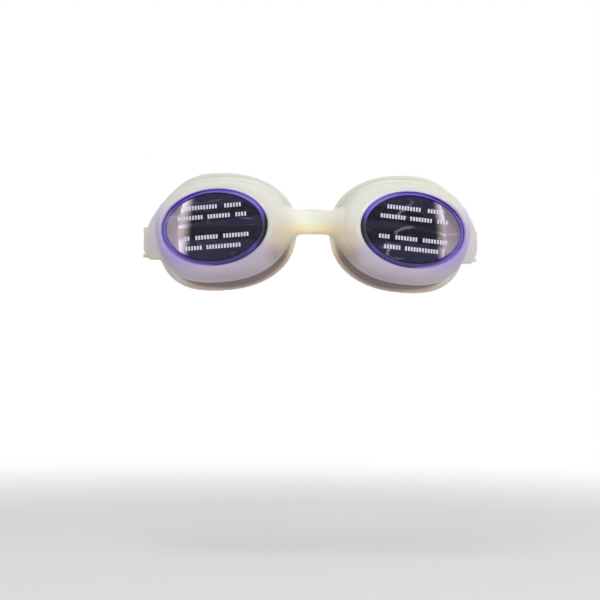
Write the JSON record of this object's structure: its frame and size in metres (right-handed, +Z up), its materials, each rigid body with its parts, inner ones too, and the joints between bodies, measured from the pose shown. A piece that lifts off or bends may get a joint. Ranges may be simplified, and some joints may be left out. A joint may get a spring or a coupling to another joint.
{
  "type": "swimming goggles",
  "caption": "Swimming goggles with a one-piece translucent silicone frame, violet lenses under peel-off film, and a split silicone strap set by release buckles.",
  "frame": {"origin": "on the middle plane at the nose-root face plane, level with the lens centres, where the wearer's face meets the goggles", "axes": "+X towards the wearer's left, +Y from the lenses back towards the head, +Z up"},
  "size_m": [0.1604, 0.2088, 0.058],
  "materials": {
    "silicone": "milky translucent silicone, satin",
    "lens": "clear polycarbonate tinted violet, polished, deeper at its edge",
    "film": "thin clear film with rows of plain white bars",
    "buckle": "cream translucent plastic, smooth",
    "lever": "off-white translucent plastic, smooth",
    "strap": "milky silicone, satin",
    "keeper": "cream silicone, satin"
  },
  "bodies": {
    "frame": {"silicone_frame": "silicone", "left_lens": "lens", "right_lens": "lens", "left_buckle": "buckle", "right_buckle": "buckle", "left_strap_roll": "strap", "right_strap_roll": "strap"},
    "left_film_body": {"left_film": "film"},
    "right_film_body": {"right_film": "film"},
    "left_lever_body": {"left_lever": "lever"},
    "right_lever_body": {"right_lever": "lever"},
    "strap_ends": {"left_strap_end": "strap", "right_strap_end": "strap", "left_keeper": "keeper", "right_keeper": "keeper", "left_strap_side": "strap", "right_strap_side": "strap"},
    "left_tail_body": {"left_strap_tail": "strap"},
    "right_tail_body": {"right_strap_tail": "strap"},
    "strap_back": {"upper_strand": "strap", "lower_strand": "strap"}
  },
  "joints": [
    {"name": "left_film_lift", "type": "slide", "parent": "frame", "child": "left_film_body", "axis": [0.1736, -0.9848, 0], "range_m": [0, 0.02]},
    {"name": "right_film_lift", "type": "slide", "parent": "frame", "child": "right_film_body", "axis": [-0.1736, -0.9848, 0], "range_m": [0, 0.02]},
    {"name": "left_lever_press", "type": "hinge", "parent": "frame", "child": "left_lever_body", "pos_m": [0.07715, 0.03893, -0.00293], "axis": [0, -0.1736, 0.9848], "range_deg": [0, 8], "stiffness_Nm_per_rad": 0.02, "springref_deg": -5.73},
    {"name": "right_lever_press", "type": "hinge", "parent": "frame", "child": "right_lever_body", "pos_m": [-0.07715, 0.03893, -0.00293], "axis": [0, 0.1736, -0.9848], "range_deg": [0, 8], "stiffness_Nm_per_rad": 0.02, "springref_deg": -5.73},
    {"name": "strap_adjust", "type": "slide", "parent": "frame", "child": "strap_ends", "axis": [0, -0.9848, -0.1736], "range_m": [0, 0.015], "deforming": ["left_strap_roll", "right_strap_roll"]},
    {"name": "left_tail_feed", "type": "slide", "parent": "frame", "child": "left_tail_body", "axis": [0, 0.9848, 0.1736], "range_m": [0, 0.015]},
    {"name": "right_tail_feed", "type": "slide", "parent": "frame", "child": "right_tail_body", "axis": [0, 0.9848, 0.1736], "range_m": [0, 0.015]},
    {"name": "strap_stretch", "type": "slide", "parent": "strap_ends", "child": "strap_back", "axis": [0, 0.9848, 0.1736], "range_m": [0, 0.025], "stiffness_N_per_m": 100, "springref_m": -0.002, "deforming": ["left_strap_side", "right_strap_side"]}
  ],
  "couplings": [
    {"joint": "left_tail_feed", "follows": "strap_adjust", "ratio": 1},
    {"joint": "right_tail_feed", "follows": "strap_adjust", "ratio": 1}
  ]
}
